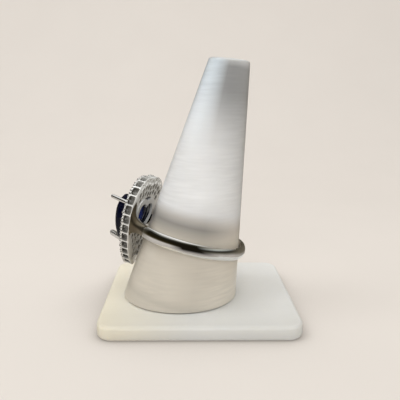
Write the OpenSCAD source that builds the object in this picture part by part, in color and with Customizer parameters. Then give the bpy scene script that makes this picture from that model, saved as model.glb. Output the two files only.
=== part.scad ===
// Heart-shaped halo ring on a plain ring cone stand.
// Millimetres. Z is up, and the origin is the middle of the underside of the stand's base.
// The near side of the object faces -Y.

/* [Stand] */
// Width of the base from side to side
base_w = 31.2; // [24:0.1:40]
// Depth of the base from front to back
base_d = 30; // [24:0.1:40]
// Height of the base slab
base_h = 2.3; // [1.5:0.1:5]
// Radius of the base's upright corners
base_corner_r = 2.6; // [1:0.1:5]
// Radius of the cone where it meets the base, measured across its axis
cone_foot_r = 9.38; // [8.8:0.02:9.4]
// Radius of the cone at its top
cone_top_r = 3.25; // [2:0.05:3.3]
// Height of the top's centre above the base's underside
cone_top_z = 41.2; // [38:0.1:42]
// Lean of the cone's axis to the right, in degrees
cone_lean = 11.1; // [10.5:0.1:11.5]
// Tilt of the flat top, in degrees
cone_top_tilt = 5.8; // [0:0.1:11]
// Where the cone's axis meets the top of the base, from left to right
cone_x = -2.95; // [-3.1:0.05:-2.9]
// Where the cone's axis meets the top of the base, from front to back
cone_y = -1.1; // [-1.2:0.1:-0.9]

/* [Ring on the stand] */
// Centre of the band, from left to right
ring_x = -1.42; // [-1.46:0.02:-1.2]
// Centre of the band, from front to back
ring_y = -1.2; // [-1.2:0.05:-1]
// Centre of the band, above the base's underside
ring_z = 12.3; // [12.2:0.05:12.8]
// Lean of the finger axis to the right, in degrees
ring_lean = 14.4; // [13:0.1:14.6]
// Tip of the finger axis to the back, in degrees
ring_tip = 2.6; // [1:0.2:3]
// Turn of the head away from the near side, in degrees
head_turn = 17; // [5:0.5:25]

/* [Band] */
// Inner diameter of the band
bore_d = 17.4; // [17.4:0.02:17.44]
// Width of the band along the finger
band_w = 1.95; // [1.6:0.05:1.95]
// Thickness of the band at its middle
band_t = 0.75; // [0.7:0.05:1]
// Height of the band's flat edges, before its outer face domes
band_edge_t = 0.4; // [0.3:0.05:0.5]

/* [Halo plate] */
// Distance from the finger axis to the back of the plate
plate_back = 8.74; // [8.74:0.02:9]
// Thickness of the plate
plate_t = 1.4; // [1.4:0.05:1.8]
// Depth of the shallow dish in the middle of the plate's back
dish_depth = 0.35; // [0.3:0.05:0.6]
// Sideways place of each lobe's centre
lobe_x = 1.55; // [1.4:0.05:2]
// Place of the lobes' centres along the finger
lobe_y = 2.3; // [1.9:0.05:2.5]
// Radius of each lobe
lobe_r = 5.45; // [5.3:0.05:5.7]
// Radius of the long sides
side_r = 13.5; // [12:0.5:18]
// Radius of the blunt tip
tip_r = 1.05; // [1:0.05:1.5]
// Place of the tip's centre along the finger
tip_y = -6.95; // [-7.2:0.05:-6.8]
// Number of open seats round the rim
rim_seats = 28; // [24:2:30]

/* [Heart opening] */
// Half of the opening's width
opening_half_w = 2.8; // [2.5:0.05:3]
// Highest point of the opening's lobes along the finger
opening_top = 2.8; // [2.6:0.05:3]
// Lowest point of the opening
opening_foot = -0.6; // [-0.7:0.05:-0.3]
// Width of the polished frame round the opening
frame_w = 0.95; // [0.7:0.05:1.1]
// Height of the frame above the dish
frame_h = 0.15; // [0.1:0.05:0.25]

/* [Stones and prongs] */
// Distance from the finger axis to the centre stone's girdle
girdle_at = 12.2; // [12:0.05:12.6]
// Height of the centre stone's crown
crown_h = 0.8; // [0.7:0.05:1.2]
// Depth of the centre stone's pavilion
pavilion_h = 2.9; // [2.7:0.05:2.95]
// Distance from the finger axis to the end of the prong at the stone's point
tip_prong_end = 14.2; // [13.8:0.05:15]
// Distance from the finger axis to the end of the near lobe's prong
near_prong_end = 13.9; // [13.6:0.05:15]
// Distance from the finger axis to the end of the far lobe's prong
far_prong_end = 13.4; // [13.3:0.05:15]
// Diameter of the two lobe prongs
prong_d = 0.68; // [0.6:0.02:0.9]
// Diameter of the outer row's small stones
outer_stone_d = 1.2; // [1:0.05:1.2]
// Diameter of the inner rows' small stones
inner_stone_d = 0.75; // [0.6:0.05:0.75]

/* [Hidden] */
$fn = 64;

// Clearance kept between separate pieces
gap = 0.08;
bore_r = bore_d / 2;
plate_front = plate_back + plate_t;

// The outline of the halo plate: lobe centre, lobe radius, side radius, tip centre and tip radius
HALO = [lobe_x, lobe_y, lobe_r, side_r, tip_y, tip_r];
// The outline of the centre stone's girdle, in the same order
STONE = [1.9, 1.78, 2.25, 8, -3.92, 0.18];
// The point that the stone's facets run to
stone_middle = [0, 0.35];

// Insets of the rows of small stones and of the holes behind them from the plate's outline
outer_row_in = 0.95;
second_row_in = 2.05;
third_row_in = 3.05;
fourth_row_in = 4.0;
second_row_count = 29;
third_row_count = 23;
fourth_row_count = 17;
// Smooth strip at each side of the plate's back, which has no small holes
strip_from_x = 3.7;
strip_low_y = -3.0;
strip_high_y = 5.2;
azure_r = 0.38;
outer_azure_r = 0.55;
// Depth of a small stone's pavilion, as a share of its diameter
small_pavilion = 0.36;
window_w = 1.4;
window_h = 1.05;
window_corner_r = 0.3;
window_depth = 0.75;
// Middle of the open seats above the plate's back: they sit nearer the back than the front
window_level = 0.62;
// The dish has sloping walls, and its middle is this far up the finger
dish_back_r = 5.8;
dish_floor_r = 5.2;
dish_y = 1.0;

// Feet of the lobe prongs, which lean towards the top
prong_foot = [4.1, 2.9];
prong_lean = 7;
// The prong at the stone's point leans in over it
tip_foot_y = -4.35;
tip_prong_lean = 11.5;
tip_foot_r = 0.66;
tip_end_r = 0.48;

function arc_points(c, r, a0, a1, n) =
    [for (i = [0:n]) let (a = a0 + (a1 - a0) * i / n) [c[0] + r * cos(a), c[1] + r * sin(a)]];

// Centre of the long side's arc, which is tangent to the lobe's circle and to the tip's
function side_centre(h) =
    let (lobe = [h[0], h[1]],
         tip = [0, h[4]],
         d = norm(tip - lobe),
         to_lobe = h[3] - h[2],
         to_tip = h[3] - h[5],
         along = (to_lobe * to_lobe - to_tip * to_tip + d * d) / (2 * d),
         e = (tip - lobe) / d)
    lobe + e * along - [-e[1], e[0]] * sqrt(to_lobe * to_lobe - along * along);

// Where the arcs of the right half begin and end, for an outline grown by g
function heart_angles(h, g) =
    let (s = side_centre(h),
         lobe_out = [h[0], h[1]] - s,
         tip_out = [0, h[4]] - s,
         tip_angle = h[5] + g > 0 ? atan2(tip_out[1], tip_out[0]) : -acos(-s[0] / (h[3] + g)))
    [90 + asin(min(h[0] / (h[2] + g), 1)), atan2(lobe_out[1], lobe_out[0]), tip_angle];

// The right half's three arcs, as centre, radius, start and end angle
function heart_arcs(h, g) =
    let (a = heart_angles(h, g))
    [[[h[0], h[1]], h[2] + g, a[0], a[1]],
     [side_centre(h), h[3] + g, a[1], a[2]],
     [[0, h[4]], max(h[5] + g, 0), a[2], -90]];

function arc_length(k) = k[1] * (k[2] - k[3]) * PI / 180;
function half_length(h, g) = let (k = heart_arcs(h, g)) arc_length(k[0]) + arc_length(k[1]) + arc_length(k[2]);

// The point at distance s from the cleft along the right half, with the angle of its outward normal
function on_arc(k, s) = let (a = k[2] - s / k[1] * 180 / PI) [k[0][0] + k[1] * cos(a), k[0][1] + k[1] * sin(a), a];
function half_station(h, g, s) =
    let (k = heart_arcs(h, g), l0 = arc_length(k[0]), l1 = arc_length(k[1]))
    s <= l0 ? on_arc(k[0], s) : s <= l0 + l1 || k[2][1] == 0 ? on_arc(k[1], s - l0) : on_arc(k[2], s - l0 - l1);

// The station at distance s round the whole outline, clockwise from the cleft
function station(h, g, s) =
    let (half = half_length(h, g))
    s <= half ? half_station(h, g, s)
              : let (p = half_station(h, g, 2 * half - s)) [-p[0], p[1], 180 - p[2]];

// A row of count stations spaced evenly round the outline, the first at the cleft or half a step past it
function row(h, g, count, shift = 0) =
    [for (i = [0:count - 1]) station(h, g, (i + shift) * 2 * half_length(h, g) / count)];

// The whole outline as points
function heart_points(h, g, n) =
    let (k = heart_arcs(h, g),
         right = concat(arc_points(k[0][0], k[0][1], k[0][2], k[0][3], n),
                        [for (i = [1:n / 2]) let (q = arc_points(k[1][0], k[1][1], k[1][2], k[1][3], n / 2)) q[i]],
                        k[2][1] == 0 ? []
                            : [for (i = [1:3]) let (q = arc_points(k[2][0], k[2][1], k[2][2], k[2][3], 3)) q[i]]))
    concat(right, [for (i = [len(right) - 2:-1:1]) [-right[i][0], right[i][1]]]);

// The wide low heart of the opening: a heart curve fitted to a half width, a top and a foot
function low_heart(half_w, top, foot, n) =
    [for (i = [0:n - 1])
        let (u = 360 * i / n,
             x = pow(sin(u), 3),
             y = (13 * cos(u) - 5 * cos(2 * u) - 2 * cos(3 * u) - cos(4 * u) + 17) / 28.9)
        [half_w * x, foot + (top - foot) * y]];

// Middle of the nearest prong's foot is farther than reach from point p
function clear_of_prongs(p, reach) =
    norm([abs(p[0]), p[1]] - prong_foot) > reach + prong_d / 2 && norm([p[0], p[1] - tip_foot_y]) > reach + tip_foot_r;

stone_reach = inner_stone_d / 2 + gap;
OUTER_ROW = row(HALO, -outer_row_in, rim_seats);
SECOND_ROW = row(HALO, -second_row_in, second_row_count, 0.5);
THIRD_ROW = row(HALO, -third_row_in, third_row_count, 0.5);
FOURTH_ROW = row(HALO, -fourth_row_in, fourth_row_count);
INNER_STONES = [for (p = concat(SECOND_ROW, THIRD_ROW)) if (clear_of_prongs(p, stone_reach)) p];

// Holes in the back, apart from the smooth strips, the band and the heart's frame
function outside_frame(p) = p[1] > opening_top + frame_w + azure_r - 0.15 || p[1] < -1.6;
// The stations of a row that get a hole
function behind_halo(rows) = [for (p = rows) if (outside_frame(p) && outside_strips(p)) p];
function outside_strips(p) = abs(p[0]) < strip_from_x || p[1] < strip_low_y || p[1] > strip_high_y;
OUTER_HOLES = behind_halo(OUTER_ROW);
INNER_HOLES = behind_halo(concat(SECOND_ROW, THIRD_ROW, FOURTH_ROW));

// Turns the ring's own frame, with the finger along Y and the head up Z, to where it sits on the cone
module on_stand() {
    translate([ring_x, ring_y, ring_z])
        rotate([0, ring_lean, 0])
            rotate([-ring_tip, 0, 0])
                rotate([90, 0, -90 - head_turn])
                    children();
}

module band() {
    dome_rise = band_t - band_edge_t;
    dome_r = (band_w * band_w / 4 + dome_rise * dome_rise) / (2 * dome_rise);
    rotate([90, 0, 0])
        rotate_extrude($fn = 128)
            intersection() {
                translate([bore_r, -band_w / 2])
                    square([band_t, band_w]);
                translate([bore_r + band_t - dome_r, 0])
                    circle(r = dome_r, $fn = 96);
            }
}

// One flared shoulder: from the band up to a foot that follows the plate's side, flush with its edge
module shoulder() {
    root_turn = 47;
    knee_turn = 36;
    foot_r = 0.45;
    foot = [[5.6, -1.1], [6.35, 1.7], [4.6, -1.1], [4.6, 0.9]];
    hull() {
        shoulder_section(root_turn, band_w - 0.1, 0.45);
        shoulder_section(knee_turn, band_w - 0.1, 0.45);
        for (p = foot)
            translate([p[0], p[1], plate_back])
                cylinder(r = foot_r, h = 0.3, $fn = 28);
    }
}

module shoulder_section(turn, w, t) {
    rotate([0, turn, 0])
        translate([0, 0, bore_r + t / 2 + 0.1])
            cube([0.3, w, t], center = true);
}

module plate() {
    difference() {
        translate([0, 0, plate_back])
            linear_extrude(plate_t)
                polygon(heart_points(HALO, 0, 16));
        translate([0, dish_y, plate_back - dish_depth])
            cylinder(r1 = 2 * dish_back_r - dish_floor_r, r2 = dish_floor_r, h = 2 * dish_depth, $fn = 96);
    }
}

module opening_frame() {
    translate([0, 0, plate_back + dish_depth - frame_h])
        linear_extrude(frame_h + 0.2)
            polygon(low_heart(opening_half_w + frame_w, opening_top + frame_w, opening_foot - frame_w, 48));
}

module opening_cut() {
    translate([0, 0, bore_r - 1])
        linear_extrude(plate_front - bore_r + 2)
            polygon(low_heart(opening_half_w, opening_top, opening_foot, 40));
}

// One open seat in the rim, cut in from the outline at station p
module rim_window(p) {
    translate([p[0], p[1], plate_back + window_level])
        rotate([90, 0, p[2] + 90])
            translate([0, 0, -window_depth])
                linear_extrude(window_depth + 0.4) {
                    square([window_w - 2 * window_corner_r, window_h], center = true);
                    square([window_w, window_h - 2 * window_corner_r], center = true);
                    for (x = [-1, 1], y = [-1, 1])
                        translate([x * (window_w / 2 - window_corner_r), y * (window_h / 2 - window_corner_r)])
                            circle(r = window_corner_r, $fn = 24);
                }
}

// Seat for one small stone, cut from the front of the plate
module stone_seat(p, d) {
    depth = small_pavilion * d + gap;
    translate([p[0], p[1], plate_front - depth])
        cylinder(d = d + 2 * gap, h = depth + 0.3, $fn = 32);
}

module back_hole(p, r) {
    translate([p[0], p[1], plate_back - 0.5])
        cylinder(r = r, h = plate_t + 1, $fn = 24);
}

module lobe_prong(end) {
    foot_z = plate_front - 0.4;
    translate([prong_foot[0], prong_foot[1], foot_z])
        rotate([-prong_lean, 0, 0])
            cylinder(d = prong_d, h = (end - foot_z) / cos(prong_lean), $fn = 32);
}

module tip_prong() {
    foot_z = plate_front - 0.4;
    translate([0, tip_foot_y, foot_z])
        rotate([-tip_prong_lean, 0, 0])
            cylinder(r1 = tip_foot_r, r2 = tip_end_r, h = (tip_prong_end - foot_z) / cos(tip_prong_lean), $fn = 32);
}

// A slice of the room round the centre stone, as a share of its outline, from one height to another
module room_slice(share, from_z, to_z) {
    translate([0, 0, from_z])
        linear_extrude(to_z - from_z)
            polygon([for (q = heart_points(STONE, gap, 10)) stone_middle + share * (q - stone_middle)]);
}

// Room for the centre stone, stepped to follow its crown, and a shallow pocket in the plate under it
module stone_room() {
    room_slice(0.93, girdle_at - 1.1, girdle_at - 0.45);
    room_slice(1, girdle_at - 0.5, girdle_at + 0.2);
    room_slice(0.98, girdle_at + 0.15, girdle_at + 0.45);
    room_slice(0.93, girdle_at + 0.4, girdle_at + crown_h + gap);
    room_slice(0.78, plate_back + dish_depth + 0.28, plate_front + 1);
}

module ring_mount() {
    color("#c9ccd0")
        on_stand()
            difference() {
                union() {
                    band();
                    plate();
                    opening_frame();
                    for (side = [0, 1])
                        mirror([side, 0, 0]) {
                            shoulder();
                            lobe_prong(side == 0 ? near_prong_end : far_prong_end);
                        }
                    tip_prong();
                }
                rotate([90, 0, 0])
                    cylinder(r = bore_r, h = 2 * lobe_r + 6, center = true, $fn = 128);
                opening_cut();
                stone_room();
                for (p = row(HALO, 0, rim_seats))
                    rim_window(p);
                for (p = OUTER_ROW)
                    stone_seat(p, outer_stone_d);
                for (p = INNER_STONES)
                    stone_seat(p, inner_stone_d);
                for (p = OUTER_HOLES)
                    back_hole(p, outer_azure_r);
                for (p = INNER_HOLES)
                    back_hole(p, azure_r);
            }
}

// Joins rings of points, from the table down to the girdle's foot, with a middle point at each end
function ring_faces(n, rings) =
    concat([for (i = [0:n - 1]) [n * rings, i, (i + 1) % n]],
           [for (k = [0:rings - 2], i = [0:n - 1]) [k * n + i, (k + 1) * n + i, k * n + (i + 1) % n]],
           [for (k = [0:rings - 2], i = [0:n - 1]) [k * n + (i + 1) % n, (k + 1) * n + i, (k + 1) * n + (i + 1) % n]],
           [for (i = [0:n - 1]) [n * rings + 1, (rings - 1) * n + (i + 1) % n, (rings - 1) * n + i]]);

module centre_stone() {
    outline = heart_points(STONE, 0, 10);
    n = len(outline);
    // Share of the outline and height above the girdle for each ring of corners
    rings = [[0.68, crown_h], [0.88, crown_h * 0.6], [1, 0.12], [1, -0.12],
             [0.72, -pavilion_h * 0.53], [0.42, -pavilion_h * 0.84]];
    points = concat([for (r = rings, q = outline) let (w = stone_middle + r[0] * (q - stone_middle)) [w[0], w[1], r[1]]],
                    [[stone_middle[0], stone_middle[1], crown_h], [stone_middle[0], stone_middle[1], -pavilion_h]]);
    color("#0b1a5c")
        on_stand()
            translate([0, 0, girdle_at])
                polyhedron(points, ring_faces(n, len(rings)));
}

// A small round stone with its girdle at z = 0: table, eight crown facets, girdle and eight pavilion facets
module small_stone(d) {
    sides = 8;
    rings = [[0.3, 0.17], [0.5, 0.02], [0.5, -0.02]];
    points = concat([for (r = rings, i = [0:sides - 1]) let (a = -360 * i / sides) d * [r[0] * cos(a), r[0] * sin(a), r[1]]],
                    [[0, 0, 0.17 * d], [0, 0, -small_pavilion * d]]);
    polyhedron(points, ring_faces(sides, len(rings)));
}

module halo_stones() {
    color("#eef3f7")
        on_stand()
            translate([0, 0, plate_front + 0.02]) {
                for (p = OUTER_ROW)
                    translate([p[0], p[1], 0])
                        small_stone(outer_stone_d);
                for (p = INNER_STONES)
                    translate([p[0], p[1], 0])
                        small_stone(inner_stone_d);
            }
}

module stand_cone() {
    cone_rise = (cone_top_z - base_h) / cos(cone_lean);
    extra = 3;
    slope = (cone_foot_r - cone_top_r) / cone_rise;
    top_x = cone_x + (cone_top_z - base_h) * tan(cone_lean);
    color("#dfe0dd")
        difference() {
            translate([cone_x, cone_y, base_h])
                rotate([0, cone_lean, 0])
                    translate([0, 0, -extra])
                        cylinder(r1 = cone_foot_r + slope * extra, r2 = cone_top_r - slope * extra,
                                 h = cone_rise + 2 * extra, $fn = 128);
            translate([-base_w, -base_w, base_h + gap - base_w])
                cube([2 * base_w, 2 * base_w, base_w]);
            translate([top_x, cone_y, cone_top_z])
                rotate([0, cone_top_tilt, 0])
                    translate([-base_w / 2, -base_w / 2, 0])
                        cube([base_w, base_w, base_w]);
        }
}

module stand_base() {
    color("#e9e9e6")
        linear_extrude(base_h) {
            square([base_w - 2 * base_corner_r, base_d], center = true);
            square([base_w, base_d - 2 * base_corner_r], center = true);
            for (x = [-1, 1], y = [-1, 1])
                translate([x * (base_w / 2 - base_corner_r), y * (base_d / 2 - base_corner_r)])
                    circle(r = base_corner_r);
        }
}

ring_mount();
centre_stone();
halo_stones();
stand_cone();
stand_base();
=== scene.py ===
"""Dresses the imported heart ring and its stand: polished metal, cut stones and frosted plastic."""

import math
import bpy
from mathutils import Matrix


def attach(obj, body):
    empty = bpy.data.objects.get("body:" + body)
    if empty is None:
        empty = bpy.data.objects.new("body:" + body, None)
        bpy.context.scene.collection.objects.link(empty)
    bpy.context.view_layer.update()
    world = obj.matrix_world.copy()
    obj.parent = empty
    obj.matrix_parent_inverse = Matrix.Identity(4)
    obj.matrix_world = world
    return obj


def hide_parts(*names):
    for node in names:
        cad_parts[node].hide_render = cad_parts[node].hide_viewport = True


bl_info = {
    "name": "Heart Ring on a Ring Cone",
    "version": (1, 0, 0),
    "blender": (4, 5, 0),
    "location": "3D View > Sidebar > Heart Ring",
    "description": "Builds a heart-shaped halo ring in polished white metal on a frosted ring cone",
    "category": "Add Mesh",
}

from types import SimpleNamespace

import bmesh
import bpy
from bpy.props import FloatProperty, FloatVectorProperty, IntProperty, PointerProperty
from mathutils import Matrix, Vector

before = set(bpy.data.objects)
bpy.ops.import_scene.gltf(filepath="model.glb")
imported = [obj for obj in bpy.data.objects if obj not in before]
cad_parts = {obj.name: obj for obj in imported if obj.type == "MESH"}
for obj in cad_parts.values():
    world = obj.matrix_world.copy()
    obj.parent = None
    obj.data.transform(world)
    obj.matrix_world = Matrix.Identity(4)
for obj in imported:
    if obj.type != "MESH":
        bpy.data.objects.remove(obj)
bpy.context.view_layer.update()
MM = 0.001


# Sizes and colours

def length(name, description, default):
    return FloatProperty(name=name, description=description, default=default, unit="LENGTH", precision=5)


def angle(name, description, degrees):
    return FloatProperty(name=name, description=description, default=math.radians(degrees), subtype="ANGLE")


def colour(name, description, default):
    return FloatVectorProperty(
        name=name, description=description, default=default, size=3, subtype="COLOR", min=0, max=1,
    )


class StandSizes(bpy.types.PropertyGroup):
    """Sizes of the frosted cone and its base."""

    base_width: length("Base width", "Width of the base from side to side", 0.0312)
    base_depth: length("Base depth", "Depth of the base from front to back", 0.030)
    base_height: length("Base height", "Height of the base slab", 0.0023)
    base_corner: length("Base corner", "Radius of the base's upright corners", 0.0026)
    base_edge: length("Base edge", "Rounding of the base's long edges", 0.0005)
    cone_foot: length("Cone foot radius", "Radius of the cone at the base", 0.00938)
    cone_top: length("Cone top radius", "Radius of the cone at its top", 0.00325)
    cone_height: length("Cone height", "Height of the top's centre above the table", 0.0412)
    cone_lean: angle("Cone lean", "Lean of the cone's axis to the right", 11.1)
    cone_top_tilt: angle("Top tilt", "Tilt of the cone's flat top", 5.8)
    cone_x: length("Cone across", "Where the axis meets the base, from left to right", -0.00295)
    cone_y: length("Cone along", "Where the axis meets the base, from front to back", -0.0011)
    cone_edge: length("Cone edge", "Rounding of the cone's top edge", 0.00045)
    gap: length("Gap", "Clearance between cone and base", 0.00008)


class RingSizes(bpy.types.PropertyGroup):
    """Where the ring sits on the cone, and its band."""

    place: FloatVectorProperty(
        name="Place", description="Centre of the band", default=(-0.00142, -0.0012, 0.0123),
        size=3, subtype="TRANSLATION", precision=5,
    )
    lean: angle("Lean", "Lean of the finger axis to the right", 14.4)
    tip: angle("Tip", "Tip of the finger axis to the back", 2.6)
    head_turn: angle("Head turn", "Turn of the head away from the near side", 17)
    bore: length("Bore", "Inner diameter of the band", 0.0174)
    band_width: length("Band width", "Width of the band along the finger", 0.00195)
    band_thickness: length("Band thickness", "Thickness of the band at its middle", 0.00075)
    band_edge: length("Band edge", "Height of the band's edges below its dome", 0.0004)


class HeadSizes(bpy.types.PropertyGroup):
    """The halo plate, its seats, its holes and its heart opening."""

    plate_back: length("Plate back", "Distance from the finger axis to the plate's back", 0.00874)
    plate_thickness: length("Plate thickness", "Thickness of the halo plate", 0.0014)
    dish_depth: length("Dish depth", "Depth of the dish in the plate's back", 0.0003)
    dish_radius: length("Dish radius", "Radius of the dish at the plate's back", 0.0060)
    dish_y: length("Dish place", "Place of the dish along the finger", 0.001)
    lobe_x: length("Lobe across", "Sideways place of each lobe's centre", 0.00155)
    lobe_y: length("Lobe along", "Place of the lobes' centres along the finger", 0.0023)
    lobe_r: length("Lobe radius", "Radius of each lobe", 0.00545)
    side_r: length("Side radius", "Radius of the long sides", 0.0135)
    tip_y: length("Tip along", "Place of the tip's centre along the finger", -0.00695)
    tip_r: length("Tip radius", "Radius of the blunt tip", 0.00105)
    seats: IntProperty(
        name="Rim seats", description="Number of open seats round the rim", default=28, min=24, max=30,
    )
    window_width: length("Window width", "Width of each open seat", 0.00146)
    window_height: length("Window height", "Height of each open seat", 0.0011)
    window_depth: length("Window depth", "Depth of each open seat", 0.0008)
    open_from: length("Open seats from", "Place above which the seats are open at the back too", 0.0056)
    window_level: length("Window level", "Height of the open seats' middle above the plate's back", 0.00062)
    hole: length("Hole radius", "Radius of the small holes in the plate's back", 0.00046)
    hole_pitch: length("Hole pitch", "Distance from one small hole to the next", 0.00122)
    opening_half: length("Opening half width", "Half of the heart opening's width", 0.0031)
    opening_top: length("Opening top", "Highest point of the heart opening", 0.00305)
    opening_tip: length("Opening tip", "Where the heart opening's sides would meet", -0.0026)
    opening_foot: length("Opening foot", "Lowest part of the heart opening, behind the band", -0.0005)
    frame_width: length("Frame width", "Width of the polished frame round the opening", 0.00095)


class StoneSizes(bpy.types.PropertyGroup):
    """The centre stone, the small stones and the prongs."""

    girdle: length("Girdle", "Distance from the finger axis to the centre stone's girdle", 0.0122)
    crown: length("Crown", "Height of the centre stone's crown", 0.0008)
    pavilion: length("Pavilion", "Depth of the centre stone's pavilion", 0.0031)
    stone_lobe_x: length("Stone lobe across", "Sideways place of the stone's lobes", 0.0019)
    stone_lobe_y: length("Stone lobe along", "Place of the stone's lobes along the finger", 0.00178)
    stone_lobe_r: length("Stone lobe radius", "Radius of the stone's lobes", 0.00225)
    stone_side_r: length("Stone side radius", "Radius of the stone's flanks", 0.008)
    stone_tip_y: length("Stone tip along", "Place of the stone's tip", -0.00392)
    stone_tip_r: length("Stone tip radius", "Radius of the stone's tip", 0.00018)
    outer_stone: length("Outer stone", "Diameter of the outer row's stones", 0.0012)
    inner_stone: length("Inner stone", "Diameter of the inner rows' stones", 0.00075)
    prong: length("Prong", "Diameter of the two lobe prongs", 0.00068)
    near_end: length("Near prong end", "Distance from the finger axis to the near prong's end", 0.0139)
    far_end: length("Far prong end", "Distance from the finger axis to the far prong's end", 0.0134)
    tip_end: length("Tip prong end", "Distance from the finger axis to the tip prong's end", 0.01412)


class FinishColours(bpy.types.PropertyGroup):
    """Colours of the finishes and of the studio."""

    metal: colour("Metal", "Polished white metal", (0.86, 0.855, 0.84))
    plating: colour("Plating", "Smooth bright frame round the heart opening", (0.97, 0.98, 0.98))
    # A painted shade that browns the shoulders where they meet the plate.
    flank: colour("Flank", "Duller metal where the shoulders meet the plate", (0.28, 0.25, 0.195))
    # Painted shade deep in the seats and holes.
    hollow_shade: colour("Recess", "Metal deep in the seats and holes", (0.27, 0.245, 0.195))
    blue_stone: colour("Blue stone", "Deep blue of the centre stone", (0.004, 0.012, 0.14))
    # Painted light: the clear blue zones in the centre stone's near half.
    blue_light: colour("Blue light", "Clear blue zones of the centre stone", (0.008, 0.06, 0.46))
    clear_stone: colour("Clear stone", "Small clear stones", (0.95, 0.96, 0.97))
    cone_foot: colour("Cone foot", "Frosted cone below the ring", (0.65, 0.60, 0.52))
    # Painted shadow: the grey band round the cone above the ring.
    cone_band: colour("Cone band", "Grey band round the cone above the ring", (0.30, 0.285, 0.265))
    cone_light: colour("Cone light", "Frosted cone where it is lightest", (0.855, 0.857, 0.858))
    # Painted shade: the cone greyer near its top.
    cone_top: colour("Cone top", "Frosted cone near its top", (0.305, 0.307, 0.308))
    base: colour("Base", "Frosted base", (0.70, 0.70, 0.68))
    base_left: colour("Base, left", "Frosted base towards its left side", (0.76, 0.71, 0.58))
    backdrop: colour("Backdrop", "Plain pale floor and backdrop", (0.782, 0.728, 0.672))


def in_mm(group):
    """The group's values, with lengths in millimetres."""
    values = {}
    for prop in group.bl_rna.properties:
        if prop.identifier in ("rna_type", "name"):
            continue
        value = getattr(group, prop.identifier)
        scale = 1 / MM if prop.unit == "LENGTH" or prop.subtype == "TRANSLATION" else 1
        if prop.type == "INT":
            values[prop.identifier] = value
        else:
            values[prop.identifier] = Vector(value) * scale if prop.is_array else value * scale
    return SimpleNamespace(**values)


def sizes():
    scene = bpy.context.scene
    return in_mm(scene.ring_stand), in_mm(scene.ring_band), in_mm(scene.ring_head), in_mm(scene.ring_stones)


# Outlines

def turns(count, shift=0.0):
    """Equal angles round a full turn."""
    return [2 * math.pi * (i + shift) / count for i in range(count)]


def squared(value, power):
    """A sine or cosine pushed outwards, which turns a circle into a rounded box."""
    return math.copysign(abs(value) ** power, value)


class Heart:
    """A heart outline of tangent arcs: two lobes, two long sides and a tip."""

    def __init__(self, lobe_x, lobe_y, lobe_r, side_r, tip_y, tip_r):
        self.lobe, self.lobe_r = Vector((lobe_x, lobe_y)), lobe_r
        self.side_r, self.tip, self.tip_r = side_r, Vector((0, tip_y)), tip_r
        run = self.tip - self.lobe
        to_lobe, to_tip = side_r - lobe_r, side_r - tip_r
        along = (to_lobe ** 2 - to_tip ** 2 + run.length_squared) / (2 * run.length)
        e = run.normalized()
        self.side = self.lobe + e * along - Vector((-e.y, e.x)) * math.sqrt(to_lobe ** 2 - along ** 2)

    def arcs(self, grow):
        """The right half's arcs from the cleft to the tip: centre, radius, start and end angle."""
        cleft = math.pi / 2 + math.asin(min(self.lobe.x / (self.lobe_r + grow), 1))
        out = self.lobe - self.side
        meet = math.atan2(out.y, out.x)
        if self.tip_r + grow > 0:
            out = self.tip - self.side
            end = math.atan2(out.y, out.x)
        else:
            end = -math.acos(-self.side.x / (self.side_r + grow))
        return [
            (self.lobe, self.lobe_r + grow, cleft, meet),
            (self.side, self.side_r + grow, meet, end),
            (self.tip, max(self.tip_r + grow, 0), end, -math.pi / 2),
        ]

    def half_length(self, grow):
        return sum(radius * (start - end) for _, radius, start, end in self.arcs(grow))

    def station(self, grow, s):
        """Point and outward normal at distance s from the cleft, clockwise."""
        half = self.half_length(grow)
        mirrored = s > half
        if mirrored:
            s = 2 * half - s
        for centre, radius, start, end in self.arcs(grow):
            run = radius * (start - end)
            if s <= run + 1e-9 or radius == 0:
                break
            s -= run
        turn = start - (s / radius if radius else 0)
        normal = Vector((math.cos(turn), math.sin(turn)))
        point = centre + normal * radius
        if mirrored:
            return Vector((-point.x, point.y)), Vector((-normal.x, normal.y))
        return point, normal

    def row(self, grow, count, shift=0.0):
        """Stations evenly spaced all round."""
        step = 2 * self.half_length(grow) / count
        return [self.station(grow, (i + shift) * step) for i in range(count)]

    def outline(self, grow, count):
        return [point for point, _ in self.row(grow, count)]

    def width_at(self, y):
        """Half of the heart's width at a place along its axis, below the lobes' tops."""
        half = self.half_length(0)
        spots = (self.station(0, half * k / 200)[0] for k in range(20, 200))
        return min(spots, key=lambda p: abs(p.y - y)).x


def low_heart(half_width, top, tip, foot, count, dip):
    """The wide heart of the opening, cut off at its foot. A small dip fills its cleft in."""
    lowest, whole = -17, 28.9
    cleft_width = 0.45
    points = []
    for u in turns(count):
        across = math.sin(u) ** 3
        curve = 13 * math.cos(u) - 5 * math.cos(2 * u) - 2 * math.cos(3 * u) - math.cos(4 * u)
        share = (curve - lowest) / whole
        if abs(across) < cleft_width and math.cos(u) > 0:
            share = 1 - dip * (1 - share)
        height = max(tip + (top - tip) * share, foot + 0.02 * math.cos(u))
        points.append(Vector((half_width * across, height)))
    return points


def opening_outline(head, count, grow=0.0):
    half, top = head.opening_half + grow, head.opening_top + grow
    return low_heart(half, top, head.opening_tip - grow, head.opening_foot - grow, count, 0.46)


def frame_outline(head, count):
    wide = head.frame_width
    half, top = head.opening_half + wide * 0.9, head.opening_top + wide
    return low_heart(half, top, head.opening_tip, head.opening_foot - 0.2, count, 0.25)


def plate_heart(head):
    return Heart(head.lobe_x, head.lobe_y, head.lobe_r, head.side_r, head.tip_y, head.tip_r)


def stone_heart(stones):
    return Heart(
        stones.stone_lobe_x, stones.stone_lobe_y, stones.stone_lobe_r,
        stones.stone_side_r, stones.stone_tip_y, stones.stone_tip_r,
    )


# Mesh helpers

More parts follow.
